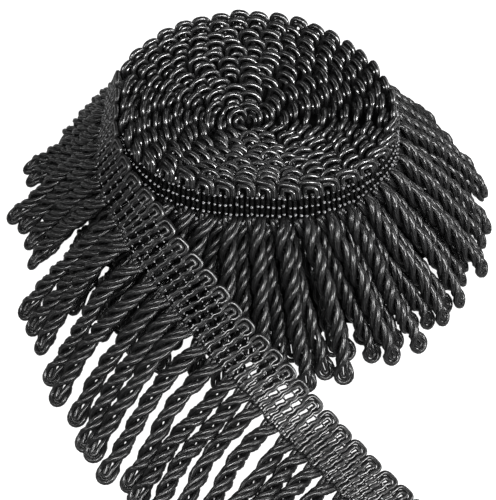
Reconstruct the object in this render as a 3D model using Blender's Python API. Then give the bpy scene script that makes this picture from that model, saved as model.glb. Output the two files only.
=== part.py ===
"""Bullion fringe trim: a wound roll standing heading up, its skirt of twisted cords, and a loose tail.

Metres, +Z up, origin at the roll's centre on the floor. The roll's plan, the tail's path and the
cords' reach are the tables below; everything else follows from the trim's own sizes.
"""
import math

import bmesh
import bpy
import numpy as np

MM = 0.001

# trim
HEADING_W = 23.5          # heading, loop tips to cord roots
HEADING_T = 2.6           # two gimps and their stitches
PITCH = 9.4               # one scallop, one cord
SCALLOP_D = 1.7           # depth of the notch between scallops
CORD_R = 3.5              # half width of a twisted cord
CORD_FLAT = 2.1           # half thickness of a twisted cord
TWIST_TURN = 21.0         # one full turn of the two plies, right handed
LOOP_R = 4.1              # half width of the end loop
LOOP_FLAT = 1.5           # half thickness of the end loop
GAP = 0.35                # clearance between pieces

# roll
TURNS = 12.5              # wound turns
STEPS = 44                # facets a turn
RIM_Z = 80.0              # height of the outer turn's loops
DISH = 8.0                # how far the centre has sunk
GROOVE = 3.4              # depth of the groove between turns
END_ANGLE = 160.0         # where the tail leaves the roll, degrees from +X
FOOT_Z = 60.6             # lower edge of the outer heading
FOOT_OUT = 7.6            # how far that edge leans out past the rim
LEDGE_IN = -2.8           # inner end of the ledge, from the rim
LEDGE_Z = 59.4            # its height, a little below the heading's edge
CORE_TOP_Z = 46.0         # where the inner cords start to spread
CORE_OUT = 36.0           # foot of the inner cords, from the rim, where the skirt is full
FLUTE = 1.1               # half depth of the flutes of the inner cords

# plan radius of the outer turn by angle, were it not for the spiral
PLAN_ANGLE = (0, 30, 60, 90, 110, 130, 150, 165, 180, 195, 210, 225, 240, 255, 270, 285, 300, 315, 330, 345)
PLAN_RADIUS = (70.1, 68.6, 68.5, 68.8, 68.6, 67.5, 66.2, 64.2, 61.7, 60.0, 57.0, 54.0, 51.5, 49.8, 48.8, 51.2,
               55.5, 59.8, 64.0, 68.2)

# how wide the skirt spreads by angle: it is pressed in below the tail
REACH_ANGLE = (-200, -180, -165, -150, -130, -115, -100, -60, -20, 15, 30, 45, 60, 100, 130, 160)
REACH = (0.46, 0.42, 0.48, 0.62, 0.84, 0.95, 1.0, 1.0, 1.0, 1.0, 0.93, 0.84, 0.80, 0.80, 0.80, 0.80)

# the two rings of cords: strip's inner and outer radius from the rim, strip's top, strip's height,
# tip radius from the rim, cords, facets a full turn of the twist, half width, half thickness
RINGS = {
    "roll_fringe_outer": dict(r0=3.2, r1=7.3, z=59.7, h=2.6, tip=56.5, cords=42, bulge=3.0, step=4.67,
                              wide=3.5, flat=2.1, seed=3),
    "roll_fringe_inner": dict(r0=-2.2, r1=1.6, z=52.5, h=2.4, tip=43.0, cords=38, bulge=1.0, step=13.5,
                              wide=2.7, flat=2.3, seed=8),
}

# tail: top edge of the heading as x, y, z, then the direction of its wefts
TAIL_TOP = (
    (-61.3, 22.3, 80.0), (-61.6, 6.0, 77.6), (-60.0, -11.4, 74.6), (-56.6, -20.2, 72.6), (-52.4, -28.4, 70.8),
    (-46.2, -36.2, 69.0), (-41.0, -42.6, 67.2), (-34.0, -53.6, 62.6), (-25.2, -62.4, 57.2), (-14.6, -72.6, 50.4),
    (-5.8, -81.4, 42.4), (3.7, -89.4, 33.6), (15.4, -97.6, 23.6), (26.7, -108.0, 13.6), (39.7, -119.4, 6.0),
    (51.4, -131.9, 2.6), (63.5, -145.5, 1.5), (75.2, -157.9, 1.5), (87.0, -170.4, 1.5),
)
WEFT_S = (0, 32, 50, 66, 95, 126, 159, 190, 215, 300)
WEFT_DIR = (
    (-0.350, 0.100, -0.931), (-0.46, 0.0, -0.89), (-0.56, -0.12, -0.80), (-0.66, -0.25, -0.71),
    (-0.78, -0.37, -0.50), (-0.81, -0.46, -0.36), (-0.81, -0.52, -0.26), (-0.79, -0.60, -0.09),
    (-0.77, -0.64, 0.0), (-0.77, -0.64, 0.0),
)
# tips of the tail's cords on the floor, by distance along the heading
TIP_S = (0, 35, 65, 90, 105, 120, 130, 140, 148, 157, 177, 200, 225, 250, 275)
TIP_X = (-121, -124, -113, -112, -103, -92, -83, -76, -66, -52, -36, -22, -6, 10, 27)
TIP_Y = (29, -8, -34, -66, -84, -108, -121, -133, -147, -157, -177, -195, -214, -233, -252)


def smooth(x, xs, ys, period=None):
    """Cubic Hermite through a short table, with the slopes of its neighbours."""
    xs, ys = np.asarray(xs, float), np.asarray(ys, float)
    x = np.asarray(x, float)
    if period:
        xs = np.concatenate([xs[-2:] - period, xs, xs[:2] + period])
        ys = np.concatenate([ys[-2:], ys, ys[:2]])
        x = (x - xs[2]) % period + xs[2]
    slope = np.gradient(ys, xs)
    k = np.clip(np.searchsorted(xs, x, side="right") - 1, 0, len(xs) - 2)
    h = xs[k + 1] - xs[k]
    u = np.clip((x - xs[k]) / h, 0, 1)
    return ((2 * u**3 - 3 * u**2 + 1) * ys[k] + (u**3 - 2 * u**2 + u) * h * slope[k]
            + (-2 * u**3 + 3 * u**2) * ys[k + 1] + (u**3 - u**2) * h * slope[k + 1])


def unit(v):
    return v / np.linalg.norm(v, axis=-1, keepdims=True)


def spiral(turn, lane=0.0):
    """Angle in radians and radius of the winding at a turn; lane shifts it by parts of a pitch."""
    deg = END_ANGLE - (TURNS - turn) * 360.0
    radius = smooth(deg, PLAN_ANGLE, PLAN_RADIUS, 360.0) * (turn + lane) / TURNS
    return math.radians(deg), radius


def top_z(turn):
    return RIM_Z - DISH * (1.0 - (turn / TURNS) ** 2)


def at(angle, radius, z):
    return (radius * math.cos(angle), radius * math.sin(angle), z)


def make(name, verts, faces, material, collection):
    """One closed mesh object, facing out."""
    mesh = bpy.data.meshes.new(name)
    mesh.from_pydata([tuple(MM * c for c in v) for v in verts], [], faces)
    bm = bmesh.new()
    bm.from_mesh(mesh)
    bmesh.ops.triangulate(bm, faces=bm.faces[:])
    bmesh.ops.recalc_face_normals(bm, faces=bm.faces[:])
    bm.to_mesh(mesh)
    bm.free()
    mesh.materials.append(material)
    obj = bpy.data.objects.new(name, mesh)
    collection.objects.link(obj)
    return obj


def yarn(name, colour, rough):
    mat = bpy.data.materials.new(name)
    mat.use_nodes = True
    shader = mat.node_tree.nodes["Principled BSDF"]
    shader.inputs["Base Color"].default_value = (*colour, 1.0)
    shader.inputs["Roughness"].default_value = rough
    return mat


def build_roll(material, collection):
    """The wound heading on its core of inner cords: a spiral ridge and groove on a sunken top,
    a leaning outer wall, the ledge below it, and the fluted spread of the inner cords."""
    count = int(round((TURNS - 1.0) * STEPS))
    verts, faces = [], []
    groove, inner, outer = [], [], []
    for i in range(count + 1):
        turn = 1.0 + i / STEPS
        # the groove runs out where the tail leaves
        depth = 0.8 + (GROOVE - 0.8) * min(1.0, (count - i) / 3.0)
        for line, lane, drop in ((groove, -0.93, depth), (inner, -0.76, 0.0), (outer, -0.04, 0.0)):
            angle, radius = spiral(turn, lane)
            line.append(len(verts))
            verts.append(at(angle, radius, top_z(turn) - drop))
    for i in range(count):
        faces.append((groove[i], inner[i], inner[i + 1], groove[i + 1]))
        faces.append((inner[i], outer[i], outer[i + 1], inner[i + 1]))
        if i + 1 + STEPS <= count:
            faces.append((outer[i], groove[i + STEPS], groove[i + 1 + STEPS], outer[i + 1]))
    for i in range(1, STEPS):
        faces.append((groove[0], groove[i], groove[i + 1]))
    faces.append((groove[0], groove[STEPS], outer[0], inner[0]))

    # the outer turn's wall, ledge and core, column by column from the top edge down
    first = count - STEPS
    lines = [outer[first:]]
    profile = ((FOOT_OUT, FOOT_Z, 0), (LEDGE_IN, LEDGE_Z, 0), (LEDGE_IN, CORE_TOP_Z, 0), ("mid", 23.0, 1),
               ("foot", 0.0, 1))
    for out, z, flute in profile:
        line = []
        for i in range(first, count + 1):
            turn = 1.0 + i / STEPS
            angle, radius = spiral(turn)
            reach = float(smooth(math.degrees(angle), REACH_ANGLE, REACH))
            spread = {"mid": 0.5, "foot": 1.0}.get(out, None)
            offset = out if spread is None else LEDGE_IN + spread * reach * (CORE_OUT - LEDGE_IN)
            wave = FLUTE * flute * (1 if i % 2 else -1)
            line.append(len(verts))
            verts.append(at(angle, radius + offset + wave, z))
        lines.append(line)
    for above, below in zip(lines[:-1], lines[1:]):
        for k in range(STEPS):
            faces.append((above[k], below[k], below[k + 1], above[k + 1]))
    # the step where the tail leaves, as the strips between the two ends of each line
    faces.append((outer[first], groove[count], inner[count], outer[count], lines[1][-1], lines[1][0]))
    for above, below in zip(lines[1:-1], lines[2:]):
        faces.append((above[0], above[-1], below[-1], below[0]))
    # flat underside
    centre = len(verts)
    verts.append((0.0, 0.0, 0.0))
    base = lines[-1] + [lines[-1][0]]
    for a, b in zip(base[:-1], base[1:]):
        faces.append((a, centre, b))
    return make("roll", verts, faces, material, collection)


def strand(verts, faces, root, path, side, wide, flat, step, turn_len, phase):
    """Carry a twisted cord on from four root vertices along a path.

    Its section is a flat diamond that turns once in turn_len, right handed, and it ends in a wider,
    flatter loop. No section goes below the floor."""
    dist = np.concatenate([[0.0], np.cumsum(np.linalg.norm(np.diff(path, axis=0), axis=1))])
    length = dist[-1]
    loop = 9.0
    count = max(3, int(round((length - loop - 3.2) / step)))
    stations = np.linspace(3.2, length - loop, count)
    sizes = [(s, wide, flat, phase + 2 * math.pi * s / turn_len) for s in stations]
    last = math.pi * round((sizes[-1][3] + 0.7) / math.pi)
    sizes += [(length - 3.6, LOOP_R, LOOP_FLAT, last), (length, LOOP_R * 0.5, LOOP_FLAT * 0.8, last)]
    ring = list(root)
    corners = np.array([verts[i] for i in ring])
    if np.cross(corners[1] - corners[0], corners[2] - corners[1]) @ (path[1] - path[0]) < 0:
        ring.reverse()
    for number, (s, a, b, turn) in enumerate(sizes):
        centre = np.array([np.interp(s, dist, path[:, k]) for k in range(3)])
        ahead = np.array([np.interp(min(s + 1.0, length), dist, path[:, k]) for k in range(3)])
        behind = np.array([np.interp(max(s - 1.0, 0.0), dist, path[:, k]) for k in range(3)])
        along = unit(ahead - behind)
        across = unit(side - along * (side @ along))
        up = np.cross(along, across)
        if number == 0:
            a = b = 0.7 * a
        angles = [turn + 0.5 * math.pi * k for k in range(4)]
        quad = np.array([centre + size * (math.cos(t) * across + math.sin(t) * up)
                         for t, size in zip(angles, (a, b, a, b))])
        quad[:, 2] += max(0.0, -quad[:, 2].min())
        if number == 0:
            # name the root's corners after the section's, in the order that turns least
            corners = np.array([verts[i] for i in ring])
            shift = min(range(4), key=lambda k: np.linalg.norm(np.roll(corners, k, axis=0) - quad))
            ring = ring[-shift:] + ring[:-shift] if shift else ring
        new = list(range(len(verts), len(verts) + 4))
        verts.extend(tuple(v) for v in quad)
        for k in range(4):
            j = (k + 1) % 4
            p, q, r, t = (np.array(verts[i]) for i in (ring[k], ring[j], new[j], new[k]))
            if np.linalg.norm(q - t) < np.linalg.norm(p - r):
                faces.extend([(ring[k], ring[j], new[k]), (ring[j], new[j], new[k])])
            else:
                faces.extend([(ring[k], ring[j], new[j]), (ring[k], new[j], new[k])])
        ring = new
    faces.append(tuple(ring))


def fringe(name, stations, roots, paths, sides, spec, material, collection):
    """A narrow strip with its cords, one closed mesh.

    stations are the strip's four-cornered sections (top back, top front, low front, low back), in
    order; roots marks the gaps between sections where a cord grows out of the low face."""
    verts = [tuple(v) for section in stations for v in section]
    faces = []
    rings = {}
    for i in range(len(stations) - 1):
        a, b = 4 * i, 4 * (i + 1)
        for k in range(4):
            quad = (a + k, b + k, b + (k + 1) % 4, a + (k + 1) % 4)
            if k == 2 and i in roots:
                rings[i] = quad
            else:
                faces.append(quad)
    faces.append((0, 1, 2, 3))
    end = 4 * (len(stations) - 1)
    faces.append((end + 3, end + 2, end + 1, end))
    for number, i in enumerate(roots):
        ring = rings[i]
        strand(verts, faces, list(ring), paths[number], sides[number], spec["wide"], spec["flat"], spec["step"],
               TWIST_TURN, spec["phase"][number])
    return make(name, verts, faces, material, collection)


def bezier(points, count):
    """Points of a Bezier curve of any degree."""
    u = np.linspace(0.0, 1.0, count)[:, None]
    pts = [np.asarray(p, float) for p in points]
    n = len(pts) - 1
    return sum(math.comb(n, k) * (1 - u) ** (n - k) * u**k * p for k, p in enumerate(pts))


def build_ring(name, spec, material, collection):
    """One ring of the skirt: its strip below the heading's edge, its cords out to the floor."""
    rng = np.random.default_rng(spec["seed"])
    cords = spec["cords"]
    lead = 0.5 / STEPS
    turns = np.linspace(TURNS - 1.0 + lead, TURNS - lead, 3 * cords + 1)
    stations, roots, paths, sides, phases = [], [], [], [], []
    for turn in turns:
        angle, radius = spiral(turn)
        stations.append([at(angle, radius + spec["r0"], spec["z"]), at(angle, radius + spec["r1"], spec["z"]),
                         at(angle, radius + spec["r1"], spec["z"] - spec["h"]),
                         at(angle, radius + spec["r0"], spec["z"] - spec["h"])])
    for c in range(cords):
        i = 3 * c + 1
        turn = 0.5 * (turns[i] + turns[i + 1])
        angle, radius = spiral(turn)
        reach = float(smooth(math.degrees(angle), REACH_ANGLE, REACH))
        mid = 0.5 * (spec["r0"] + spec["r1"])
        tip = mid + (spec["tip"] - mid) * reach + rng.uniform(-2.0, 2.0)
        swing = rng.uniform(-0.02, 0.02)
        start = np.array(at(angle, radius + mid, spec["z"] - spec["h"]))
        end = np.array(at(angle + swing, radius + tip, 1.0))
        out = np.array([math.cos(angle), math.sin(angle), 0.0])
        bulge = 0.5 * (start + end) + spec["bulge"] * (out + np.array([0, 0, 1.0]))
        roots.append(i)
        paths.append(bezier((start, bulge, end), 25))
        sides.append(np.array([-math.sin(angle), math.cos(angle), 0.0]))
        phases.append(rng.uniform(0, 2 * math.pi))
    spec = dict(spec, phase=phases)
    return fringe(name, stations, roots, paths, sides, spec, material, collection)


def tail_frame(count):
    """Top edge, weft direction and face direction of the tail at even distances along it."""
    top = np.array(TAIL_TOP)
    rough = np.concatenate([[0.0], np.cumsum(np.linalg.norm(np.diff(top, axis=0), axis=1))])
    fine_s = np.linspace(0.0, rough[-1], 400)
    fine = np.stack([smooth(fine_s, rough, top[:, k]) for k in range(3)], axis=1)
    true = np.concatenate([[0.0], np.cumsum(np.linalg.norm(np.diff(fine, axis=0), axis=1))])
    s = np.linspace(0.0, true[-1], count)
    edge = np.stack([np.interp(s, true, fine[:, k]) for k in range(3)], axis=1)
    along = unit(np.gradient(edge, s, axis=0))
    weft = np.stack([smooth(s, WEFT_S, np.array(WEFT_DIR)[:, k]) for k in range(3)], axis=1)
    weft = unit(weft - 0.8 * along * np.sum(weft * along, axis=1, keepdims=True))
    face = unit(np.cross(weft, along))
    face *= np.where(face[:, 2:3] < 0, -1.0, 1.0)
    return s, edge, weft, face


def build_tail_heading(material, collection):
    """The loose heading: a thin band with a scalloped edge, from the roll's side down to the floor."""
    s, edge, weft, face = tail_frame(1200)
    length = s[-1]
    scallops = int(length // PITCH)
    marks = []
    for k in range(scallops + 1):
        # a scallop's top, its sides and the notch in line with the cord below
        for part, depth in ((0.0, 0.0), (0.3, 0.35 * SCALLOP_D), (0.5, SCALLOP_D), (0.7, 0.35 * SCALLOP_D)):
            marks.append(((k + part) * PITCH, depth))
    marks = [(m, d) for m, d in marks if GAP + 0.4 <= m <= length] + [(length, SCALLOP_D)]
    marks = [(GAP + 0.4, 0.8 * SCALLOP_D)] + marks
    verts, faces = [], []
    half = 0.5 * HEADING_T
    for m, depth in marks:
        p, w, n = [np.array([np.interp(m, s, a[:, k]) for k in range(3)]) for a in (edge, weft, face)]
        for d, h in ((depth, half), (HEADING_W - 1.0, half), (HEADING_W - 1.0, -half), (depth, -half)):
            v = p + d * w + h * n
            v[2] = max(v[2], 0.0)
            verts.append(tuple(v))
    for i in range(len(marks) - 1):
        a, b = 4 * i, 4 * (i + 1)
        for k in range(4):
            faces.append((a + k, b + k, b + (k + 1) % 4, a + (k + 1) % 4))
    faces.append((0, 1, 2, 3))
    end = 4 * (len(marks) - 1)
    faces.append((end + 3, end + 2, end + 1, end))
    return make("tail_heading", verts, faces, material, collection)


def build_tail_fringe(material, collection):
    """The tail's cords on a strip along the heading's lower edge."""
    rng = np.random.default_rng(5)
    s, edge, weft, face = tail_frame(1200)
    length = s[-1]
    cords = int(length // PITCH)
    start, stop = 1.0, length - 0.5
    marks = [start]
    for c in range(cords):
        mid = (c + 0.5) * PITCH
        marks += [mid - 2.2, mid + 2.2]
    marks.append(stop)
    stations, roots, paths, sides, phases = [], [], [], [], []

    def frame(m):
        return [np.array([np.interp(m, s, a[:, k]) for k in range(3)]) for a in (edge, weft, face)]

    near, far, half = HEADING_W - 1.0 + GAP, HEADING_W + 1.2, 0.5 * HEADING_T
    for m in marks:
        p, w, n = frame(m)
        section = [p + near * w - half * n, p + near * w + half * n, p + far * w + half * n, p + far * w - half * n]
        low = min(v[2] for v in section)
        stations.append([tuple(v + np.array([0, 0, max(0.0, -low)])) for v in section])
    for c in range(cords):
        mid = (c + 0.5) * PITCH
        p, w, n = frame(mid)
        root = p + far * w
        root[2] = max(root[2], half)
        tip = np.array([smooth(mid, TIP_S, TIP_X), smooth(mid, TIP_S, TIP_Y), 1.2])
        tip[:2] += rng.uniform(-0.8, 0.8, 2)
        reach = np.linalg.norm(tip - root)
        lead = root + 0.33 * reach * w
        lead[2] = max(lead[2], CORD_R)
        tip_lead = tip + 0.33 * reach * unit(root - tip) + np.array([0, 0, 2.0])
        roots.append(2 * c + 1)
        paths.append(bezier((root, lead, tip_lead, tip), 31))
        along = unit(tip - root)
        sides.append(unit(np.cross(along, [0, 0, 1.0])))
        phases.append(rng.uniform(0, 2 * math.pi))
    spec = dict(wide=CORD_R, flat=CORD_FLAT, step=4.2, phase=phases)
    return fringe("tail_fringe", stations, roots, paths, sides, spec, material, collection)


for old in list(bpy.data.objects):
    bpy.data.objects.remove(old, do_unlink=True)

collection = bpy.data.collections.new("bullion_fringe_trim")
bpy.context.scene.collection.children.link(collection)

build_roll(yarn("heading_roll_yarn", (0.012, 0.012, 0.013), 0.55), collection)
for ring_name, ring in RINGS.items():
    build_ring(ring_name, ring, yarn(ring_name + "_yarn", (0.014, 0.014, 0.015), 0.5), collection)
build_tail_heading(yarn("tail_heading_yarn", (0.013, 0.013, 0.014), 0.55), collection)
build_tail_fringe(yarn("tail_fringe_yarn", (0.015, 0.015, 0.016), 0.5), collection)
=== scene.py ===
import math

import bpy
import numpy as np
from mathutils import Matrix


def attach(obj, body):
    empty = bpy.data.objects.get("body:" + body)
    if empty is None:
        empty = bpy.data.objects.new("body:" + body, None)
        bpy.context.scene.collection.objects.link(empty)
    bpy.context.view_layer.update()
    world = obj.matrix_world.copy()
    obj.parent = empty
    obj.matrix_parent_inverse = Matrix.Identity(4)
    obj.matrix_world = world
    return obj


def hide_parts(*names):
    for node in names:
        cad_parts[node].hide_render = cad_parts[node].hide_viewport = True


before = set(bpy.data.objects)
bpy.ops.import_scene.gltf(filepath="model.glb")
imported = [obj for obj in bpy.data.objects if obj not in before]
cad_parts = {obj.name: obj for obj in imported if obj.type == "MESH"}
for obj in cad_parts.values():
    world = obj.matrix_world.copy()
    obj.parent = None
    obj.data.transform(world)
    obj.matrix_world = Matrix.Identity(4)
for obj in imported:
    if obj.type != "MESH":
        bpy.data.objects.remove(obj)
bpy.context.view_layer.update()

# The studio: a pale seamless floor under soft boxes, seen from in front and well above, as a trim is
# laid out to be photographed. Nothing here belongs to the trim.
CAMERA_AT = (-0.00046, -0.36824, 0.47884)
CAMERA_DOWN = 54.0        # degrees below the horizon
CAMERA_LENS = 84.4        # mm
CAMERA_SENSOR = 36.0      # mm
CAMERA_NEAR = 0.01
# name, place, point that it faces, width, depth, watts
SOFT_BOXES = (
    ("back", (0.15, 0.95, 0.95), (0.0, -0.03, 0.02), 1.00, 0.50, 6.0),
    ("left", (-0.95, 0.30, 0.30), (0.0, -0.03, 0.03), 0.60, 0.30, 4.0),
    ("left front", (-0.66, -0.46, 0.44), (0.0, -0.03, 0.03), 0.80, 0.12, 12.0),
    ("right", (0.82, 0.38, 0.50), (0.0, -0.03, 0.03), 1.00, 0.30, 16.0),
    ("right front", (0.66, -0.42, 0.44), (0.0, -0.03, 0.03), 0.80, 0.12, 50.0),
    ("front", (0.03, -0.44, 0.68), (0.0, -0.03, 0.03), 0.80, 0.16, 48.0),
    ("overhead", (0.05, -0.30, 1.10), (0.0, -0.03, 0.0), 0.36, 0.24, 4.0),
)
WHITE = (1.0, 1.0, 1.0, 1.0)
ROOM_LIGHT = 0.05         # what comes from all round
FLOOR_HALF = 12.0
FLOOR_DROP = 0.0003       # the floor lies just under the trim
FLOOR_PAPER = {"Base Color": (0.06, 0.06, 0.06, 1.0), "Roughness": 0.9, "Specular IOR Level": 0.1,
               "Emission Color": WHITE, "Emission Strength": 0.95}

camera_data = bpy.data.cameras.new("camera")
camera_data.lens = CAMERA_LENS
camera_data.sensor_width = CAMERA_SENSOR
camera_data.clip_start = CAMERA_NEAR
camera = bpy.data.objects.new("camera", camera_data)
camera.location = CAMERA_AT
camera.rotation_euler = (math.radians(90.0 - CAMERA_DOWN), 0.0, 0.0)
bpy.context.collection.objects.link(camera)
bpy.context.scene.camera = camera


def soft_box(name, place, target, width, depth, watts):
    """A rectangular area light at place, turned to face target."""
    light = bpy.data.lights.new(name, "AREA")
    light.shape = "RECTANGLE"
    light.size, light.size_y, light.energy = width, depth, watts
    box = bpy.data.objects.new(name, light)
    way = np.array(target) - np.array(place)
    box.location = place
    box.rotation_euler = (math.acos(-way[2] / np.linalg.norm(way)), 0.0,
                          math.atan2(way[1], way[0]) - math.pi / 2)
    bpy.context.collection.objects.link(box)


for soft_box_row in SOFT_BOXES:
    soft_box(*soft_box_row)

world = bpy.data.worlds.new("studio")
world.use_nodes = True
world.node_tree.nodes["Background"].inputs["Color"].default_value = WHITE
world.node_tree.nodes["Background"].inputs["Strength"].default_value = ROOM_LIGHT
bpy.context.scene.world = world
bpy.context.scene.view_settings.view_transform = "Standard"

floor_mesh = bpy.data.meshes.new("studio_floor")
floor_mesh.from_pydata([(x * FLOOR_HALF, y * FLOOR_HALF, -FLOOR_DROP)
                        for x, y in ((-1, -1), (1, -1), (1, 1), (-1, 1))], [], [(0, 1, 2, 3)])
floor = bpy.data.objects.new("studio_floor", floor_mesh)
bpy.context.collection.objects.link(floor)
paper = bpy.data.materials.new("studio_paper")
paper.use_nodes = True
for socket_name, socket_value in FLOOR_PAPER.items():
    paper.node_tree.nodes["Principled BSDF"].inputs[socket_name].default_value = socket_value
floor_mesh.materials.append(paper)


# The roll's heart: twelve and a half turns of heading wound flat on each other, and under them the packed
# cords of the inner turns, which spread to the floor. Its finish is painted shade, near black and without
# sheen, so only shadow shows of it between the gimps.
MM = 0.001
TURNS = 12.5              # wound turns
END_ANGLE = 160.0         # where the tail leaves the roll, degrees from +X
RIM_Z = 80.0              # loops of the outer turn above the floor
DISH = 8.0                # how far the centre of the roll has sunk
FOOT_Z = 60.6             # lower edge of the outer heading
FOOT_OUT = 5.0            # how far that edge leans out past the rim
HEART_COLUMNS = 176
HEART_RINGS = (0.03, 0.25, 0.45, 0.65, 0.85)  # rings of its top, as shares of the rim
HEART_SINK = 6.0          # its top below the loops
HEART_IN = 1.3            # its wall behind the outer heading
HEART_GROWTH = 60.0       # how much a turn its rim may grow, past where the tail leaves
CORE_IN = 2.8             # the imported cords' top, in from the rim
CORE_OUT = 27.0           # their foot, out from the rim, where the skirt is full
CORE_FLUTE = 1.1          # half depth of their flutes
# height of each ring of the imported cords, and how much of their spread it has
CORE_RINGS = ((FOOT_Z - 1.2, 0.0), (46.0, 0.0), (35.0, 0.22), (22.0, 0.5), (9.0, 0.8), (0.0, 1.0))

# the roll's plan, radius of the outer turn by angle, were it not for the winding
PLAN_ANGLE = (0, 30, 60, 90, 110, 130, 150, 165, 180, 195, 210, 225, 240, 255, 270, 285, 300, 315, 330,
              345)
PLAN_RADIUS = (69.8, 67.0, 65.4, 65.2, 65.4, 65.4, 65.2, 63.8, 61.7, 59.4, 55.4, 51.2, 47.9, 45.6, 44.4,
               46.8, 51.6, 56.6, 62.0, 67.2)
# how wide the skirt spreads by angle: it is pressed in below the tail
REACH_ANGLE = (-200, -180, -165, -150, -130, -115, -100, -80, -60, -45, -20, 15, 30, 45, 60, 100, 130, 160)
REACH = (0.88, 0.90, 0.90, 0.93, 0.99, 1.04, 1.085, 1.09, 1.08, 1.06, 1.02, 0.98, 0.90, 0.82, 0.80,
         0.80, 0.80, 0.88)

# the gimps' finish: slubs and patches to a metre, and how far a slub shifts its yarn and stands out
SLUB_SCALE = 1300.0
PATCH_SCALE = 90.0
SLUB = 0.6
YARN_IOR = 1.6
COAT_IOR = 1.9            # high, under a low weight: the sheen is strong face on and weak at grazing
# ridges paler than valleys: painted shade in the grooves between the yarns; patches: the yarn's own uneven
# tone
GROOVE_SHADE_RIDGE, PALE_PATCH, PALE_POWER = 0.6, 0.5, 2.0   # how ridges and patches pale the colour
ROUGH_RIDGE, ROUGH_VALLEY, ROUGH_PATCH = 0.15, 0.45, 0.1  # on a ridge, and what the others add
SHEEN_RIDGE, SHEEN_SLUB = 0.7, 0.6                   # what ridges and slubs add to the sheen
# near black: painted shade, for the heart and for the threads in the tail's gaps
SHADOW_DARK, SHADOW_LIGHT = (0.0002, 0.0002, 0.0002), (0.001, 0.001, 0.001)


def smooth(x, xs, ys, period=None):
    """A curve through a short table: cubic Hermite, each slope that of the two neighbours."""
    xs, ys, x = np.asarray(xs, float), np.asarray(ys, float), np.asarray(x, float)
    if period:
        xs = np.concatenate([xs[-2:] - period, xs, xs[:2] + period])
        ys = np.concatenate([ys[-2:], ys, ys[:2]])
        x = (x - xs[2]) % period + xs[2]
    slope = np.gradient(ys, xs)
    k = np.clip(np.searchsorted(xs, x, side="right") - 1, 0, len(xs) - 2)
    h = xs[k + 1] - xs[k]
    u = np.clip((x - xs[k]) / h, 0, 1)
    return ((2 * u**3 - 3 * u**2 + 1) * ys[k] + (u**3 - 2 * u**2 + u) * h * slope[k]
            + (-2 * u**3 + 3 * u**2) * ys[k + 1] + (u**3 - u**2) * h * slope[k + 1])


def winding(turn):
    """Angle in degrees and radius of the spiral at a turn: the plan's radius, grown evenly by the turn."""
    degrees = END_ANGLE - (TURNS - turn) * 360.0
    return degrees, smooth(degrees, PLAN_ANGLE, PLAN_RADIUS, 360.0) * turn / TURNS


def loop_height(turn):
    """Height of the loops at a turn: a shallow bowl, deepest at the centre."""
    return RIM_Z - DISH * (1.0 - (turn / TURNS) ** 2)


class Wire:
    """A socket that gives a value; arithmetic on it adds Math nodes."""

    def __init__(self, finish, socket):
        self.finish, self.socket = finish, socket

    def output(self, number):
        """Another output of the same node."""
        return Wire(self.finish, self.socket.node.outputs[number])

    def math(self, operation, *values):
        return self.finish.node("ShaderNodeMath", dict(operation=operation), dict(enumerate(values)))

    def __add__(self, other):
        return self.math("ADD", self, other)

    def __radd__(self, other):
        return self.math("ADD", other, self)

    def __sub__(self, other):
        return self.math("SUBTRACT", self, other)

    def __rsub__(self, other):
        return self.math("SUBTRACT", other, self)

    def __mul__(self, other):
        return self.math("MULTIPLY", self, other)

    def __rmul__(self, other):
        return self.math("MULTIPLY", other, self)

    def __pow__(self, other):
        return self.math("POWER", self, other)

    def __rpow__(self, other):
        return self.math("POWER", other, self)

    def sine(self):
        return self.math("SINE", self)


class Finish:
    """A material on one Principled shader, with constants set on its own sockets."""

    def __init__(self, name, **constants):
        self.material = bpy.data.materials.new(name)
        self.material.use_nodes = True
        self.tree = self.material.node_tree
        self.shader = self.tree.nodes["Principled BSDF"]
        for socket, value in constants.items():
            self.shader.inputs[socket.replace("_", " ")].default_value = value

    def node(self, kind, settings, sockets):
        """A node of a type, its settings first, then its sockets' values or links. It gives its first
        output."""
        node = self.tree.nodes.new(kind)
        for setting, value in settings.items():
            setattr(node, setting, value)
        for socket, value in sockets.items():
            if isinstance(value, Wire):
                self.tree.links.new(value.socket, node.inputs[socket])
            else:
                node.inputs[socket].default_value = value
        return Wire(self, node.outputs[0])

    def noise(self, place, scale):
        """Soft noise at a place, of this many spots to a metre."""
        return self.node("ShaderNodeTexNoise", {}, {"Vector": place, "Scale": scale, "Detail": 2.0})

    def ramp(self, value, low, high):
        """Two colours mixed by a value from 0 to 1."""
        sockets = {0: value, 6: (*low, 1.0), 7: (*high, 1.0)}
        return self.node("ShaderNodeMix", dict(data_type="RGBA"), sockets).output(2)

    def feed(self, socket, value):
        self.tree.links.new(value.socket, self.shader.inputs[socket])


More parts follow.
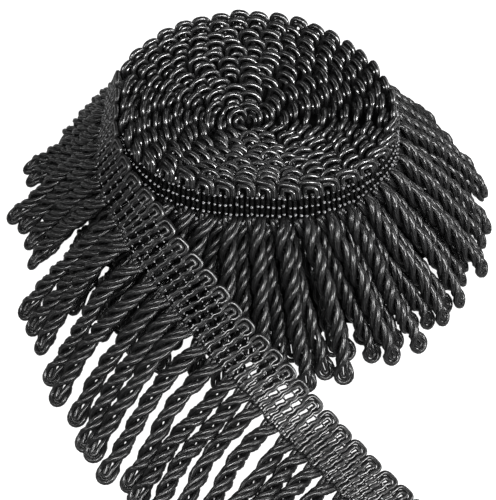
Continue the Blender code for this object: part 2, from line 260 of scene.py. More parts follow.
def gimp_finish(name, dark, light, rough, gloss, depth, yarns=6, lead=0.011, shine=0.03, even=0.0,
                crisp=2.5, phase=0.0):
    """Satin gimp: fine yarns laid round a core. A yarn's ridge is the sine of the way round plus the way
    along in leads, times the number of yarns, plus the phase. The sheen is a coat of the weight gloss on
    the ridges, in finer lines with more crisp and smoother with more even. The body under it is dim,
    rougher in its valleys, with ridges and slubs as a bump of this depth. Its colour runs from dark to
    light: paler on the ridges, which leaves painted shade in the valleys, and paler in patches."""
    finish = Finish(name, Specular_IOR_Level=shine, IOR=YARN_IOR, Coat_Roughness=rough, Coat_IOR=COAT_IOR)
    uv = finish.node("ShaderNodeUVMap", dict(uv_map="gimp"), {})
    along = finish.node("ShaderNodeSeparateXYZ", {}, {0: uv})
    around = along.output(1)
    place = finish.node("ShaderNodeTexCoord", {}, {}).output(3)
    slub, patch = finish.noise(place, SLUB_SCALE), finish.noise(place, PATCH_SCALE)
    turns = (along * (1.0 / lead) + around) * float(yarns) + slub * SLUB + phase
    ridge = (turns * (2.0 * math.pi)).sine() * 0.5 + 0.5
    # paler on the ridges, so the valleys carry painted shade; paler in patches as the yarn's own tone
    pale_with_groove_shade = (ridge * GROOVE_SHADE_RIDGE + patch * PALE_PATCH) ** PALE_POWER
    sheen = (ridge * SHEEN_RIDGE + slub * SHEEN_SLUB) * (1.0 - even) + even
    finish.feed("Base Color", finish.ramp(pale_with_groove_shade, dark, light))
    finish.feed("Roughness", (1.0 - ridge) * ROUGH_VALLEY + patch * ROUGH_PATCH + ROUGH_RIDGE)
    finish.feed("Coat Weight", sheen ** crisp * gloss)
    finish.feed("Normal", finish.node("ShaderNodeBump", {}, {
        "Strength": 1.0, "Distance": depth, "Height": ridge + slub * SLUB}))
    return finish.material


def add_piece(name, points, faces, uv, material, slot, nodes):
    """One mesh object from arrays: points in millimetres, faces as rows of equal length in a list of
    arrays, uv as one row for each corner in the same order."""
    mesh = bpy.data.meshes.new(name)
    mesh.vertices.add(len(points))
    mesh.vertices.foreach_set("co", (points * MM).astype(np.float32).ravel())
    counts = np.concatenate([np.full(len(rows), rows.shape[1]) for rows in faces])
    corners = np.concatenate([rows.ravel() for rows in faces])
    mesh.loops.add(len(corners))
    mesh.loops.foreach_set("vertex_index", corners.astype(np.int32))
    mesh.polygons.add(len(counts))
    mesh.polygons.foreach_set("loop_start", np.concatenate([[0], np.cumsum(counts)[:-1]]).astype(np.int32))
    mesh.polygons.foreach_set("loop_total", counts.astype(np.int32))
    mesh.update(calc_edges=True)
    mesh.uv_layers.new(name="gimp").data.foreach_set("uv", np.concatenate(uv).astype(np.float32).ravel())
    mesh.polygons.foreach_set("use_smooth", np.ones(len(counts), bool))
    mesh.materials.append(material)
    mesh.validate()
    piece = bpy.data.objects.new(name, mesh)
    bpy.context.collection.objects.link(piece)
    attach(piece, "root")
    if nodes:
        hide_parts(*nodes)
    return piece


def heart():
    """The heart as a grid of columns round and rings down: a sunken top, the wall behind the outer
    heading, the ledge under it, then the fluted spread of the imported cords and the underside."""
    turn = TURNS - 1.0 + (np.arange(HEART_COLUMNS) + 0.5) / HEART_COLUMNS
    degrees, rim = winding(turn)
    # where the tail leaves, the outer turn steps out by one heading
    rim = np.minimum(rim, rim[0] + np.linspace(0.0, HEART_GROWTH, HEART_COLUMNS))
    spread = (CORE_OUT + CORE_IN) * smooth(degrees, REACH_ANGLE, REACH)
    flute = CORE_FLUTE * np.cos(np.arange(HEART_COLUMNS) * math.pi)
    rings = [(rim * share, loop_height(TURNS * share) - HEART_SINK) for share in HEART_RINGS]
    rings += [(rim - HEART_IN, RIM_Z - HEART_SINK), (rim + FOOT_OUT - HEART_IN, FOOT_Z + 1.0)]
    rings += [(rim - CORE_IN + share * spread + (share > 0.0) * flute, level)
              for level, share in CORE_RINGS]
    rings.append((HEART_RINGS[0] * rim, 0.0))
    count = len(rings)
    radius = np.array([ring[0] for ring in rings])
    height = np.array([ring[1] for ring in rings])[:, None] + 0.0 * radius
    angle = np.radians(degrees)
    points = np.stack([radius * np.cos(angle), radius * np.sin(angle), height], axis=-1).reshape(-1, 3)
    cell = np.arange(count * HEART_COLUMNS).reshape(count, HEART_COLUMNS)
    beside = np.roll(cell, -1, axis=1)
    quads = np.stack([cell[:-1], cell[1:], beside[1:], beside[:-1]], axis=-1).reshape(-1, 4)
    u = np.arange(HEART_COLUMNS)[None, :, None] / HEART_COLUMNS
    v = (np.arange(count - 1)[:, None] / count + np.array([0, 1, 1, 0]) / count)[:, None, :]
    uv = np.stack(np.broadcast_arrays(u, v), axis=-1).reshape(-1, 2)
    caps = [cell[:1], cell[-1:, ::-1]]
    return points, [quads] + caps, [uv, np.zeros((2 * HEART_COLUMNS, 2))]


# the heart's finish is painted shade: near black, with no sheen and no gloss, so it reads only as shadow
shadow_yarn = gimp_finish("packed_yarn_painted_shade", SHADOW_DARK, SHADOW_LIGHT, rough=0.8, gloss=0.0, depth=0.0002,
                          shine=0.0)
add_piece("roll_heart", *heart(), shadow_yarn, "roll_yarn", ["roll"])


# The winding: the gimp weft turns back at the heading's edge in nested hairpins, two to a scallop.
# Wound on edge, their loops are all that shows of the inner turns; each is pushed about a little.
GIMP_R = 1.12             # half the thickness of a gimp
GIMP_SIDES = 8
PITCH = 9.4               # one scallop
HEADING_W = 23.5          # loops to the roots of the cords
INNER_TURN = 0.45         # where the winding starts
SPIRAL_STEPS = 9000
CREEP = 0.13              # how unevenly the scallops follow each other within the roll, in pitches
LOOP_DEPTH = 4.62         # centre of the bends below the tips
LOOP_LEG = 7.0            # how far down a loop's legs are made
LOOP_FAT = 1.16           # how much a gimp swells out of the stitches
KNEE = 6.5                # depth above which all loops lean backward: in at the front,
NOD_BACK = 0.42           # and out behind, by this many radians
LEAN_SIDE = 0.4           # share of the outer wall's lean that is left at the back
LEAN_START, LEAN_RISE = 0.1, 1.4  # how much of the rest it has at the sides, and gains with the sine
# spread of a scallop's shift, rise, stand, tilt, swelling and slew; all but the swelling go by how loose
# the loops are
LOOP_SPREAD = (0.6, 0.6, 0.35, 0.06, 0.04, 0.06)
# each hairpin's bend radius and how far it stands out, in turns' spacing; then how square the bends are
# (1 is round), how far the loops lean in at the front in radians, the slope by which each overlaps the
# next, the seed, and how loose they are
WOUND_LOOPS = (((4.3, -0.17), (2.2, 0.2)), 0.8, 0.75, 0.2, 31, 1.0)
YARN_DARK, YARN_LIGHT = (0.0003, 0.0003, 0.0003), (0.0022, 0.0022, 0.0023)


def unit(v):
    """A vector over its length."""
    return v / np.linalg.norm(v, axis=-1, keepdims=True)


def run_along(points):
    """Distance from a path's start at each of its points: the sum of the steps up to there."""
    steps = np.linalg.norm(np.diff(points, axis=-2), axis=-1)
    return np.concatenate([np.zeros((*steps.shape[:-1], 1)), np.cumsum(steps, axis=-1)], axis=-1)


def tube_mesh(paths, up, radius, sides):
    """Gimps as closed tubes: a point is the path plus the radius times cos t of up and sin t of across,
    t going round. paths and up are tubes x stations x 3, and up need only lean away from the path."""
    count, stations = paths.shape[:2]
    ahead = unit(np.gradient(paths, axis=1))
    up = unit(up - ahead * np.sum(up * ahead, axis=-1, keepdims=True))
    across = np.cross(ahead, up)
    t = np.arange(sides) * 2.0 * math.pi / sides
    radius = np.broadcast_to(np.asarray(radius, float), (count, stations))[:, :, None, None]
    ring = np.cos(t)[:, None] * up[:, :, None, :] + np.sin(t)[:, None] * across[:, :, None, :]
    points = (paths[:, :, None, :] + radius * ring).reshape(-1, 3)
    cell = np.arange(count * stations * sides).reshape(count, stations, sides)
    beside = np.roll(cell, -1, axis=2)
    quads = np.stack([cell[:, :-1], beside[:, :-1], beside[:, 1:], cell[:, 1:]], axis=-1).reshape(-1, 4)
    run = run_along(paths) * MM
    v = np.arange(sides + 1) / sides
    shape = (count, stations - 1, sides)
    near, far = (np.broadcast_to(part[:, :, None], shape) for part in (run[:, :-1], run[:, 1:]))
    left, right = (np.broadcast_to(part, shape) for part in (v[:-1], v[1:]))
    corners = ((near, left), (near, right), (far, right), (far, left))
    uv = np.stack([np.stack(corner, axis=-1) for corner in corners], axis=-2).reshape(-1, 2)
    caps = [cell[:, 0, ::-1].reshape(-1, sides), cell[:, -1].reshape(-1, sides)]
    return points, [quads] + caps, [uv, np.zeros((2 * count * sides, 2))]


def hairpin(bend, depth, middle, square, legs, bends):
    """x and depth of a gimp's hairpin: up one leg, round a squared half circle whose centre is at the
    middle depth, down the other. legs and bends are numbers of stations."""
    t = np.linspace(0.0, math.pi, bends)
    c, s = np.cos(t), np.sin(t)
    leg = np.linspace(depth, middle, legs, endpoint=False)
    over = -bend * np.sign(c) * np.abs(c) ** square
    x = np.concatenate([np.full(legs, -bend), over, np.full(legs, bend)])
    return x, np.concatenate([leg, middle - bend * s ** square, leg[::-1]])


spiral_turn = np.linspace(INNER_TURN, TURNS, SPIRAL_STEPS)
spiral_angle, spiral_radius = winding(spiral_turn)
spiral_angle = np.radians(spiral_angle)
spiral = np.stack([spiral_radius * np.cos(spiral_angle), spiral_radius * np.sin(spiral_angle)], axis=1)
# distance along the heading, counted back from where the tail leaves
spiral_run = run_along(spiral)
spiral_run -= spiral_run[-1]
spiral_ahead = unit(np.gradient(spiral, axis=0))


def upright(sine):
    """How much of its lean the outer heading has, by the sine of the angle: all at the front, less
    round the sides, where the cords hang close."""
    return LEAN_SIDE + (1.0 - LEAN_SIDE) * np.clip(LEAN_START - LEAN_RISE * sine, 0.0, 1.0)


def heading_frame(run):
    """Loop tips, direction of the wefts and outward face of the wound heading at a distance along it.
    The heading stands upright within the roll, and its last turn leans out at the foot."""
    x, y, ax, ay, turn = (np.interp(run, spiral_run, column)
                          for column in (*spiral.T, *spiral_ahead.T, spiral_turn))
    size = np.hypot(ax, ay)
    out = np.stack([ay / size, -ax / size, 0 * x], axis=-1)
    tip = np.stack([x, y, loop_height(turn)], axis=-1)
    lean = math.atan2(FOOT_OUT, RIM_Z - FOOT_Z) * np.clip(turn / (TURNS - 1.0), 0.0, 1.0)[..., None] ** 2
    lean = lean * upright(y / np.hypot(x, y))[..., None]
    down = np.array([0.0, 0.0, -1.0])
    return tip, np.cos(lean) * down + np.sin(lean) * out, np.cos(lean) * out - np.sin(lean) * down, turn


def wound_hairpins(centres, pair, square, nod_front, skew, seed, loose):
    """Both hairpins of each scallop at centres along the winding, each scallop tipped, raised and
    shifted a little by its own random amounts. Above the knee a loop turns by the nod times the sine
    of its angle round the roll."""
    rng = np.random.default_rng(seed)
    spread = np.array(LOOP_SPREAD) * (loose, loose, loose, loose, 1.0, loose)
    shift, rise, stand_by, tilt, swell, slew = (
        rng.normal(0.0, size, len(centres))[:, None] for size in spread)
    paths, ups = [], []
    for bend, stand in pair:
        x, depth = hairpin(bend, LOOP_LEG, LOOP_DEPTH, square, legs=3, bends=11)
        tip, weft, face, turn = heading_frame(centres[:, None] + x + shift)
        radius = np.hypot(tip[..., 0], tip[..., 1])
        above = np.clip(KNEE - depth, 0.0, KNEE)
        # the inner hairpin lies on the side that the nod turns up, taken at one station for the whole loop
        upper = -np.sign(tip[:, 5:6, 1])
        tipped = (stand_by + tilt * above + (skew + slew) * x) * np.clip(above, 0.0, 1.0)
        out = upper * stand * radius / turn + tipped
        nod = np.where(tip[..., 1] < 0.0, nod_front, NOD_BACK) * tip[..., 1] / radius
        path = tip + weft * (depth + above * (1.0 - np.cos(nod)))[..., None]
        path += face * (out + above * np.sin(nod))[..., None]
        path[..., 2] += rise
        paths.append(path)
        ups.append(face)
    girth = GIMP_R * LOOP_FAT * np.tile(1.0 + swell, (2, 1))
    return tube_mesh(np.concatenate(paths), np.concatenate(ups), girth, GIMP_SIDES)


last_turn_run = np.interp(TURNS - 1.0, spiral_turn, spiral_run)
scallops = -PITCH * np.arange(1, int(-spiral_run[0] // PITCH))
# within the roll the scallops have crept, so they don't line up from turn to turn
crept = np.cumsum(np.random.default_rng(30).normal(0.0, CREEP * PITCH, len(scallops)))
scallops = scallops + np.where(scallops < last_turn_run, crept, 0.0)
inner_scallops, outer_scallops = scallops[scallops < last_turn_run], scallops[scallops >= last_turn_run]
gimp = gimp_finish("gimp_yarn", YARN_DARK, YARN_LIGHT, rough=0.25, gloss=0.36, depth=0.0001, lead=0.06,
                   crisp=3.6, phase=0.35)
add_piece("winding_loops", *wound_hairpins(inner_scallops, *WOUND_LOOPS), gimp, "roll_yarn", [])


# The outer turn: the two hairpins of a scallop lie nearly flush, and below them the gimp wefts run side
# by side down the wall, drawn thin by the stitches. At the front the loops stand up as flat arches, each
# right end before the next one's left.
FRONT_LOOPS = (((4.5, -0.08), (2.4, 0.08)), 0.6, 0.2, 0.42, 32, 0.8)
BACK_LOOPS = (((3.9, -0.08), (1.95, 0.08)), 0.8, 0.2, 0.2, 33, 0.6)
WALL_LEGS = (3.5, 1.2)    # the wefts on either side of a scallop's middle
WALL_TOP = 5.2            # where they start below the tips
WALL_STATIONS = 12
WALL_WANDER = 0.16        # how far they wander, along the heading and out
WALL_STAND = 0.2          # how unevenly they stand out
LEG_THIN = 0.16           # how much thinner a gimp is drawn under the stitches
HELD_SIDES = 6
# the wall's wefts: a darker, duller copy of the gimp, partly held flat by the stitches and partly painted
# shade of the wall
HELD_SHADED_DARK, HELD_SHADED_LIGHT = (0.0002, 0.0002, 0.0002), (0.0006, 0.0006, 0.0006)


def wall_wefts(centres):
    """The outer turn's wefts below their loops: each runs down the heading at its place, and wanders a
    little by random amounts."""
    rng = np.random.default_rng(34)
    depth = np.linspace(WALL_TOP, HEADING_W, WALL_STATIONS)
    places = np.array([side * leg for leg in WALL_LEGS for side in (-1, 1)])
    run = (centres[:, None] + places).reshape(-1, 1) + 0.0 * depth
    tip, weft, face, _ = heading_frame(run + rng.normal(0.0, WALL_WANDER, run.shape))
    out = rng.normal(0.0, WALL_WANDER, run.shape) + rng.normal(0.0, WALL_STAND, (len(run), 1))
    paths = tip + weft * depth[:, None] + face * out[..., None]
    return tube_mesh(paths, face, GIMP_R * (1.0 - LEG_THIN), HELD_SIDES)


# a darker, duller copy of the gimp: partly the stitches' hold, partly painted shade of the wall
held_shaded_gimp = gimp_finish("held_shaded_gimp_yarn", HELD_SHADED_DARK, HELD_SHADED_LIGHT, rough=0.3, gloss=0.02, depth=0.0002,
                        shine=0.02)
at_front = np.interp(outer_scallops, spiral_run, spiral[:, 1]) < 0.0
add_piece("outer_turn_front_loops", *wound_hairpins(outer_scallops[at_front], *FRONT_LOOPS),
          gimp, "roll_yarn", [])
add_piece("outer_turn_back_loops", *wound_hairpins(outer_scallops[~at_front], *BACK_LOOPS),
          gimp, "roll_yarn", [])
add_piece("outer_turn_wefts", *wall_wefts(outer_scallops), held_shaded_gimp, "roll_yarn", [])


# The warp: four rows of chain stitch in fine shiny thread hold the wefts side by side. Of each stitch
# only its rise over a gimp shows, as a small bright bead; the rest sinks between the gimps. The black
# thread is coloured grey, a painted highlight that brightens the beads beside their own sheen.
ROWS = (6.3, 11.2, 16.1, 21.0)
ROW_GAP = 4.9
BEAD_STATIONS = 7
BEAD_SPREAD = (0.13, 0.3, 0.2)    # of its pull into the heading, its place down the weft and along
BEAD_BOW = 0.4            # how far its ends sink, in half thicknesses
BEAD_BODY = 0.95          # its girth in half thicknesses
BEAD_END = 0.03           # square of the part of that girth which is left at its ends
SLANT_TOP = 3.0           # depth below which the tail's wefts run aslant
# length of a bead, half its thickness, and how far it stands out
WALL_BEAD = (1.1, 0.66, 1.25)
# grey for a black thread: painted highlight of the beads
THREAD_GLINT_DARK, THREAD_GLINT_LIGHT = (0.01, 0.01, 0.0103), (0.06, 0.06, 0.0615)


def stitch_beads(frame_at, centres, places, bead, slant, seed):
    """A bead for every gimp of each scallop in each row, drawn in and shifted by random amounts. Its
    half thickness follows the square root of 1 - t squared, t from -1 to 1 along it."""
    length, thick, rise = bead
    rng = np.random.default_rng(seed)
    middle = (centres[:, None] + np.array(places)).ravel()[:, None]
    t = np.linspace(-1.0, 1.0, BEAD_STATIONS)
    paths, ups, girths = [], [], []
    for row in ROWS:
        pull, sway, creep = (rng.normal(0.0, size, middle.shape) for size in BEAD_SPREAD)
        tip, weft, face = frame_at(middle + creep + slant * (row - SLANT_TOP) + 0.5 * length * t)[:3]
        stand = rise + BEAD_BOW * thick * (pull - t**2)
        paths.append(tip + weft * (row + sway)[..., None] + face * stand[..., None])
        ups.append(weft)
        girths.append(thick * (BEAD_BODY + pull) * np.sqrt(np.maximum(1.0 - t**2, BEAD_END)))
    return tube_mesh(np.concatenate(paths), np.concatenate(ups), np.concatenate(girths), HELD_SIDES)


# the thread's finish: a grey colour as painted highlight on the black thread, with its own sheen
glint_thread = gimp_finish("stitch_thread_painted_glint", THREAD_GLINT_DARK, THREAD_GLINT_LIGHT, rough=0.24, gloss=0.19, depth=0.00002,
                     yarns=3, lead=0.003)
wall_places = sorted(side * leg for leg in WALL_LEGS for side in (-1, 1))
wall_beads = stitch_beads(heading_frame, outer_scallops, wall_places, WALL_BEAD, slant=0.0, seed=41)
add_piece("outer_turn_stitches", *wall_beads, glint_thread, "heading_yarn", [])


# The skirt: below the heading each weft hangs out as a bullion cord, two gimps there and back twisted on
# themselves, ending in a bight. Four turns' cords show, each ring between the cords of the next.
SKIRT_TURN = 27.6         # one full turn of the twist, right handed
CORD_END = 5.1            # centre of the bight above its tip
CORD_ROOT = 5.5           # where the flat weft has become a round cord
BIGHT_BLEND = 10.0        # where the cord opens to its bight
BIGHT_THIN = 0.75         # how much of a ply's extra thickness it loses there
BIGHT_STATIONS = 7
CORD_STATIONS = 13        # to a full turn
CURVE_STEPS = 80
TANGENT_STEP = 0.8
CORD_SWAY = (0.3, 1.5)    # least and most that a cord sways aside,
SWAY_WAVES = (0.8, 1.7)   # and in how many waves
TWIST_SHARE = (0.93, 1.07)  # least and most twist of a cord, as a share
TWIST_OFF = 0.12          # how unevenly the bights lie flat, in radians
TWIST_START, TWIST_STOP = 1.0, 2.5  # untwisted lengths at the root and before the bight
# the two gimps of a cord: place in the heading, then across and up in the cord, and the bight's radius
STRANDS = ((-3.525, -2.1, 1.15, 3.75), (-1.175, -1.5, -1.15, 1.25))
PLY_R = 1.36              # a gimp's half thickness where two are pressed into one ply
# name, start from the rim, its height, tip from the rim, first cord in pitches, seed, fatness, CAD node
SKIRT = (
    ("skirt_outer_cords", 4.6, 61.6, 56.5, 0.5, 3, 1.22, "roll_fringe_outer"),
    ("skirt_middle_cords", 0.0, 59.5, 53.0, 1.0, 8, 1.12, "roll_fringe_inner"),
    ("skirt_inner_cords", -4.2, 57.0, 47.0, 0.25, 14, 1.0, "roll_fringe_inner"),
    ("skirt_deep_cords", -8.4, 54.0, 41.0, 0.7, 21, 1.0, "roll_fringe_inner"),
)
SKIRT_SIDES = 6
TIP_Z = 1.8               # the cords' ends above the floor
TIP_REACH, TIP_ASIDE = 2.2, 2.5   # how unevenly they end, outwards and aside
BELLY_OUT = 3.0           # how far a cord's middle bows out,
BELLY_UP = (1.5, 5.0)     # up, at least and at most,
BELLY_ASIDE = 2.2         # and aside


def ease(x):
    """0 below 0, 1 above 1, and a cubic between."""
    x = np.clip(x, 0.0, 1.0)
    return x * x * (3.0 - 2.0 * x)


def cord_mesh(points, side, seed, fat, whole_turn, sides):
    """Cords along Bezier curves, points being cords x control points x 3. Each gimp runs down the cord
    at its own place in a section that turns right handed, round the bight and back up."""
    rng = np.random.default_rng(seed)
    count, order = points.shape[0], points.shape[1] - 1
    t = np.linspace(0.0, 1.0, CURVE_STEPS)[:, None]
    weights = [math.comb(order, k) * (1 - t) ** (order - k) * t**k for k in range(order + 1)]
    curve = np.concatenate(weights, axis=1) @ points
    wave = rng.uniform(0, 2 * math.pi, (count, 1))
    wave = wave + 2 * math.pi * t.T * rng.uniform(*SWAY_WAVES, (count, 1))
    sway = rng.uniform(*CORD_SWAY, (count, 1)) * np.sin(wave) * np.sin(math.pi * t.T)
    curve = curve + sway[..., None] * side[:, None, :]
    run = run_along(curve)
    length = run[:, -1:]

    def along(distance):
        """Curve points at a distance, by the segment that holds it."""
        k = np.clip((distance[:, :, None] >= run[:, None, :]).sum(-1) - 1, 0, run.shape[1] - 2)
        low, high = np.take_along_axis(run, k, 1), np.take_along_axis(run, k + 1, 1)
        here, beyond = (np.take_along_axis(curve, np.repeat(n[..., None], 3, -1), 1) for n in (k, k + 1))
        return here + ((distance - low) / (high - low))[..., None] * (beyond - here)

    # the cord's centre down to the bight, with its section's two directions before and after the twist
    last = length - CORD_END
    s = last * np.linspace(0.0, 1.0, int(round(float(length.mean()) / whole_turn * CORD_STATIONS)))
    centre = along(s)
    ahead = unit(along(np.minimum(s + TANGENT_STEP, length)) - along(np.maximum(s - TANGENT_STEP, 0.0)))
    across = unit(side[:, None, :] - ahead * np.sum(side[:, None, :] * ahead, axis=-1, keepdims=True))
    up = np.cross(ahead, across)
    whole = math.pi * np.round((2.0 * last / whole_turn) * rng.uniform(*TWIST_SHARE, (count, 1)))
    twisted = np.clip((s - TWIST_START) / (last - (TWIST_START + TWIST_STOP)), 0.0, 1.0)
    twist = (whole + rng.normal(0.0, TWIST_OFF, (count, 1))) * twisted
    turned = np.cos(twist)[..., None] * across + np.sin(twist)[..., None] * up
    risen = np.cos(twist)[..., None] * up - np.sin(twist)[..., None] * across

    rooted, opened = ease(s / CORD_ROOT), ease((s - last + BIGHT_BLEND) / BIGHT_BLEND)
    half_turn = np.linspace(0.0, math.pi, BIGHT_STATIONS + 2)[1:-1][:, None]
    girth = GIMP_R + (fat * PLY_R - GIMP_R) * rooted * (1 - BIGHT_THIN * opened)
    girth = np.concatenate([girth, np.repeat(girth[:, -1:], BIGHT_STATIONS, 1), girth[:, ::-1]], axis=1)
    bight_up = np.repeat(risen[:, -1:], BIGHT_STATIONS, 1)
    paths, ups = [], []
    for flat, a, b, bend in STRANDS:
        x = (1 - rooted) * flat + rooted * ((1 - opened) * fat * a - opened * bend)
        y = rooted * (1 - opened) * fat * b
        down = centre + x[..., None] * turned + y[..., None] * risen
        back = centre - x[..., None] * turned - y[..., None] * risen
        bight = (centre[:, -1:] - bend * np.cos(half_turn) * turned[:, -1:]
                 + bend * np.sin(half_turn) * ahead[:, -1:])
        paths.append(np.concatenate([down, bight, back[:, ::-1]], axis=1))
        ups.append(np.concatenate([risen, bight_up, risen[:, ::-1]], axis=1))
    paths = np.concatenate(paths)
    paths[..., 2] = np.maximum(paths[..., 2], GIMP_R)
    return tube_mesh(paths, np.concatenate(ups), np.concatenate([girth, girth]), sides)


def skirt_curves(start_out, start_z, tip_out, first, seed):
    """Control points of one ring of cords: from the heading's foot out and down to the floor."""
    rng = np.random.default_rng(seed)
    runs = np.arange(-first * PITCH, last_turn_run, -PITCH)
    degrees, rim = winding(np.interp(runs, spiral_run, spiral_turn))
    angle = np.radians(degrees)
    out = np.stack([np.cos(angle), np.sin(angle), 0 * angle], axis=1)
    side = np.stack([-np.sin(angle), np.cos(angle), 0 * angle], axis=1)
    up = np.array([0.0, 0.0, 1.0])
    count = len(runs)
    reach = smooth(degrees, REACH_ANGLE, REACH)
    tip_at = rim + start_out + (tip_out - start_out) * reach + rng.uniform(-TIP_REACH, TIP_REACH, count)
    begin = rim + start_out - FOOT_OUT * (1.0 - upright(np.sin(angle)))
    start = out * begin[:, None] + up * start_z
    tip = out * tip_at[:, None] + side * rng.normal(0.0, TIP_ASIDE, count)[:, None] + up * TIP_Z
    middle = 0.5 * (start + tip) + out * BELLY_OUT + up * rng.uniform(*BELLY_UP, count)[:, None]
    middle = middle + side * rng.normal(0.0, BELLY_ASIDE, count)[:, None]
    return np.stack([start, middle, tip], axis=1), side


cord_gimp = gimp_finish("cord_gimp_yarn", YARN_DARK, YARN_LIGHT, rough=0.22, gloss=0.085, depth=0.00025,
                        yarns=7, lead=0.022, even=0.5)
for skirt_name, start_out, start_z, tip_out, first_cord, cord_seed, fat, cad_node in SKIRT:
    skirt_points, skirt_side = skirt_curves(start_out, start_z, tip_out, first_cord, cord_seed)
    add_piece(skirt_name, *cord_mesh(skirt_points, skirt_side, cord_seed, fat, SKIRT_TURN, SKIRT_SIDES),
              cord_gimp, "cord_yarn", [cad_node])


# The tail's heading: the last of the trim comes off the roll, crosses the skirt and lies on the floor.
# It is the same wefts and stitches, laid flat, with slits between the wefts where it is drawn out.
TAIL_TOP = (              # the loops' edge, from the roll to the tail's end
    (-61.3, 22.3, 80.0), (-61.6, 6.0, 77.6), (-60.0, -11.4, 74.6), (-56.6, -20.2, 72.6),
    (-52.4, -28.4, 70.8), (-46.2, -36.2, 69.0), (-41.0, -42.6, 67.2), (-34.0, -53.6, 62.6),
    (-25.2, -62.4, 57.2), (-14.6, -72.6, 50.4), (-5.8, -81.4, 42.4), (3.7, -89.4, 33.6),
    (15.4, -97.6, 23.6), (26.7, -108.0, 13.6), (39.7, -119.4, 6.0), (51.4, -131.9, 2.6),
    (63.5, -145.5, 1.5), (75.2, -157.9, 1.5), (87.0, -170.4, 1.5),
)
WEFT_RUN = (0, 32, 50, 66, 95, 126, 159, 190, 215, 300)
WEFT_WAY = (              # the way of the wefts at those distances along the edge
    (-0.350, 0.100, -0.931), (-0.46, 0.0, -0.89), (-0.56, -0.12, -0.80), (-0.66, -0.25, -0.71),
    (-0.78, -0.37, -0.50), (-0.81, -0.46, -0.36), (-0.81, -0.52, -0.26), (-0.79, -0.60, -0.09),
    (-0.77, -0.64, 0.0), (-0.77, -0.64, 0.0),
)
WEFT_SQUARE = 0.8         # how far the wefts are turned square to the edge
EDGE_STEPS, TAIL_STEPS = 400, 1200  # samples of the edge, before and after they are spaced evenly
# the gimps of a pair are drawn together into a finger, and black gaps part the fingers; on the floor
# they lie evenly. That changes first at the loops and later at the cords
DRAW_RUN = (0, 203, 224, 300)
DRAW = (1.0, 1.0, 0.0, 0.0)
DRAW_DELAY = 4.0          # run by which it comes later for each millimetre down the wefts,
DRAW_DELAY_TOP = 7.0      # from this depth
DRAW_SPREAD = (0.8, 1.15)
DRAW_BETWEEN = 0.2        # how much more it is between the rows than at them
DRAW_TOP, DRAW_BLEND = 4.5, 2.0   # depth where it starts, and over which it grows
DRAW_THIN = 0.06          # how much thinner a drawn gimp is
# each hairpin of a scallop: its bend's radius, where its legs run when even and when drawn, and then how
# far its right leg lies higher and its left one lower
TAIL_PAIR = ((3.8, 3.5, 3.12, -0.2), (1.6, 1.2, 1.58, 0.2))
TAIL_LOOP = 3.9           # centre of the bends below the tips
TAIL_SQUARE = 0.62        # how square they are, 1 being round
TAIL_SLANT = -0.10        # the legs run this much aside for each millimetre of depth
LEG_BLEND = 3.0           # depth over which they ease to their places
LEG_WAVE = 0.25           # how far they sway between the rows
WEFT_LAP = 0.2            # their ends above the heading's edge
TAIL_SHIFT, TAIL_SHIFT_END = 0.22, 20.0   # spread of a scallop's shift, and the depth where it is gone
TAIL_RISE, TAIL_RISE_END = 0.25, 12.0     # the same of its rise
THREAD_R = 0.42           # half thickness of a thread
THREAD_STEP = PITCH / 8
# places of a scallop's beads; length of a bead, half its thickness, and how far it stands out
TAIL_PLACES = (-3.75, -0.95, 0.95, 3.75)
TAIL_BEAD = (0.9, 0.42, 0.85)

tail_points = np.array(TAIL_TOP)
tail_rough = run_along(tail_points)
tail_fine_run = np.linspace(0.0, tail_rough[-1], EDGE_STEPS)
tail_fine = np.stack([smooth(tail_fine_run, tail_rough, tail_points[:, k]) for k in range(3)], axis=1)
tail_true = run_along(tail_fine)
tail_length = tail_true[-1]
tail_run = np.linspace(0.0, tail_length, TAIL_STEPS)
tail_edge = np.stack([np.interp(tail_run, tail_true, tail_fine[:, k]) for k in range(3)], axis=1)
tail_ahead = unit(np.gradient(tail_edge, tail_run, axis=0))
tail_weft = np.stack([smooth(tail_run, WEFT_RUN, np.array(WEFT_WAY)[:, k]) for k in range(3)], axis=1)
tail_aslant = np.sum(tail_weft * tail_ahead, axis=1, keepdims=True)
tail_weft = unit(tail_weft - WEFT_SQUARE * tail_ahead * tail_aslant)
tail_face = unit(np.cross(tail_weft, tail_ahead))
tail_face *= np.where(tail_face[:, 2:3] < 0, -1.0, 1.0)


def tail_frame(run):
    """Loop tips, direction of the wefts and upper face of the tail's heading at a distance along it; past
    either end the edge runs on straight."""
    inside = np.clip(run, 0.0, tail_length)
    tip, weft, face, ahead = (np.stack([np.interp(inside, tail_run, part[:, k]) for k in range(3)], axis=-1)
                              for part in (tail_edge, tail_weft, tail_face, tail_ahead))
    return tip + (run - inside)[..., None] * ahead, weft, face


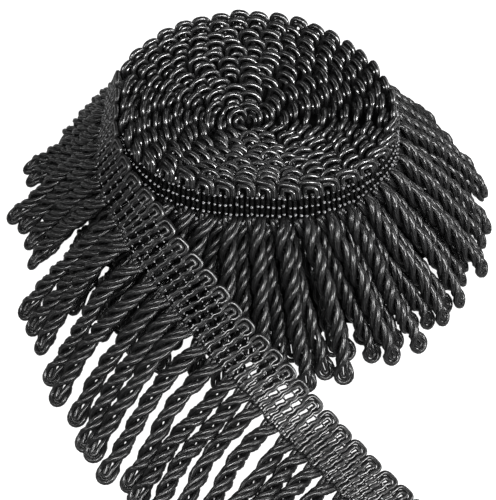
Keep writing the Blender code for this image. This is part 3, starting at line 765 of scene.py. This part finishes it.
def tail_hairpins(centres, legs, bends, seed):
    """Both hairpins of each scallop of the tail. Below the loops the legs ease to their places, and the
    left gimp of a finger lies higher."""
    rng = np.random.default_rng(seed)
    rows = len(centres)
    shift, rise = rng.normal(0.0, TAIL_SHIFT, (rows, 1)), rng.normal(0.0, TAIL_RISE, (rows, 1))
    paths, ups, girths = [], [], []
    for bend, even, drawn, lift in TAIL_PAIR:
        x, depth = hairpin(bend, HEADING_W - WEFT_LAP, TAIL_LOOP, TAIL_SQUARE, legs, bends)
        below = ease((depth - SLANT_TOP) / LEG_BLEND)
        row_angle = 2 * math.pi * (depth - ROWS[0]) / ROW_GAP
        parted = (smooth(centres[:, None] + DRAW_DELAY * (depth - DRAW_DELAY_TOP), DRAW_RUN, DRAW)
                  * rng.uniform(*DRAW_SPREAD, (rows, 1)))
        between = 1.0 - DRAW_BETWEEN + DRAW_BETWEEN * (0.5 - 0.5 * np.cos(row_angle))
        parted = parted * between * ease((depth - DRAW_TOP) / DRAW_BLEND)
        place = bend + (even + (drawn - even) * parted - bend) * below
        aside = x * place / bend + LEG_WAVE * np.sin(row_angle) * below
        aside = aside + shift * np.clip(1.0 - depth / TAIL_SHIFT_END, 0.0, 1.0)
        aside = aside + TAIL_SLANT * np.maximum(depth - SLANT_TOP, 0.0)
        tip, weft, face = tail_frame(centres[:, None] + aside)
        height = lift * np.sign(x) * below * parted + rise * np.clip(1.0 - depth / TAIL_RISE_END, 0.0, 1.0)
        paths.append(tip + weft * depth[:, None] + face * height[..., None])
        ups.append(face)
        girths.append(GIMP_R - DRAW_THIN * below * parted)
    paths = np.concatenate(paths)
    paths[..., 2] = np.maximum(paths[..., 2], GIMP_R)
    return tube_mesh(paths, np.concatenate(ups), np.concatenate(girths), GIMP_SIDES)


def warp_threads():
    """The threads themselves, one to a row, seen only as dark bars where the fingers part: black thread,
    given the heart's painted-shade finish without sheen. They run along the edge at each row's depth."""
    run = np.arange(-0.5 * PITCH, tail_length, THREAD_STEP)
    paths, ups = [], []
    for row in ROWS:
        tip, weft, face = tail_frame(run + TAIL_SLANT * (row - SLANT_TOP))
        paths.append(tip + weft * row)
        ups.append(face)
    return tube_mesh(np.array(paths), np.array(ups), THREAD_R, HELD_SIDES)


tail_scallops = PITCH * np.arange(0, int(tail_length // PITCH) + 1)
tail_bead_mesh = stitch_beads(tail_frame, tail_scallops, TAIL_PLACES, TAIL_BEAD, TAIL_SLANT, seed=42)
tail_beads = add_piece("tail_beads", *tail_bead_mesh, glint_thread, "heading_yarn", [])
# the threads take the heart's finish: black thread, with its missing sheen as painted shade
tail_threads = add_piece("tail_threads", *warp_threads(), shadow_yarn, "heading_yarn", [])
tail_gimp = gimp_finish("tail_gimp_yarn", YARN_DARK, YARN_LIGHT, rough=0.28, gloss=0.18, depth=0.0002,
                        yarns=4, lead=0.05)
tail_wefts = add_piece("tail_wefts", *tail_hairpins(tail_scallops, legs=26, bends=13, seed=51), tail_gimp,
                       "heading_yarn", ["tail_heading"])


# The tail's cords: bullion like the skirt's, two gimps there and back twisted on themselves. They hang
# from the tail's wefts over the skirt and fan out on the floor.
TAIL_TURN = 25.2          # one full turn of their twist
TAIL_FAT = 1.16
TAIL_SIDES = 8
TAIL_SEED = 5
TIPS = (                  # where they end on the floor, from the roll to the tail's end
    (-120, 29), (-117, 21), (-123, -4), (-117, -10), (-112, -22), (-110, -33), (-110, -64), (-106, -73),
    (-100, -83), (-94, -99), (-90, -110), (-81, -120), (-76, -134), (-71, -139), (-66, -148), (-55, -152),
    (-51, -160), (-44, -168), (-37, -176), (-30, -184), (-23, -191), (-17, -197), (-10, -203), (-4, -210),
    (2, -217), (9, -224), (15, -231), (22, -238),
)
TIP_SPREAD = 0.8          # how unevenly
TAIL_TIP_Z = 1.6
# the way in which they arrive at their tips, by the run of their root
TIP_WAY_RUN = (0, 25, 50, 80, 150, 270)
TIP_WAY = ((-0.97, -0.25), (-0.80, -0.60), (-0.65, -0.76), (-0.49, -0.87), (-0.47, -0.88), (-0.47, -0.88))
ROOT_LAP = 1.0            # how far their roots reach under the heading
ROOT_Z = 1.3              # least height of a root,
LEAD_Z = 3.5              # and of the control point after it
LEAD, BACK = 0.33, 0.36   # the control points from root and tip, as shares of their distance
BACK_UP = 5.0             # how far the second one is raised
OVER_SKIRT = 7.0          # how far the cords are held up where the skirt lies below them,
OVER_END, OVER_FADE = 60.0, 80.0  # up to this run, and over which run they sink


def tail_curves(seed):
    """Control points of the tail's cords: off the heading along the weft, then to the tips' table."""
    rng = np.random.default_rng(seed)
    runs = PITCH * (np.arange(int(tail_length // PITCH)) + 0.5)
    up = np.array([0.0, 0.0, 1.0])
    edge, weft, _ = tail_frame(runs + 0.5 * TAIL_SLANT * HEADING_W)
    root = edge + (HEADING_W - ROOT_LAP) * weft
    root[:, 2] = np.maximum(root[:, 2], ROOT_Z)
    tip = np.array(TIPS, float)[:len(runs)] + rng.uniform(-TIP_SPREAD, TIP_SPREAD, (len(runs), 2))
    tip = np.column_stack([tip, TAIL_TIP_Z + 0 * runs])
    way = [smooth(runs, TIP_WAY_RUN, np.array(TIP_WAY)[:, k]) for k in (0, 1)]
    arrive = unit(np.stack(way + [0 * runs], axis=1))
    reach = np.linalg.norm(tip - root, axis=1, keepdims=True)
    over = OVER_SKIRT * (1.0 - ease((runs - OVER_END) / OVER_FADE))[:, None] * up
    lead = root + LEAD * reach * weft + over
    lead[:, 2] = np.maximum(lead[:, 2], LEAD_Z)
    back = tip - BACK * reach * arrive + BACK_UP * up + over
    return np.stack([root, lead, back, tip], axis=1), unit(np.cross(unit(tip - root), up))


cord_points, cord_side = tail_curves(TAIL_SEED)
add_piece("tail_cords", *cord_mesh(cord_points, cord_side, TAIL_SEED, TAIL_FAT, TAIL_TURN, TAIL_SIDES),
          cord_gimp, "cord_yarn", ["tail_fringe"])
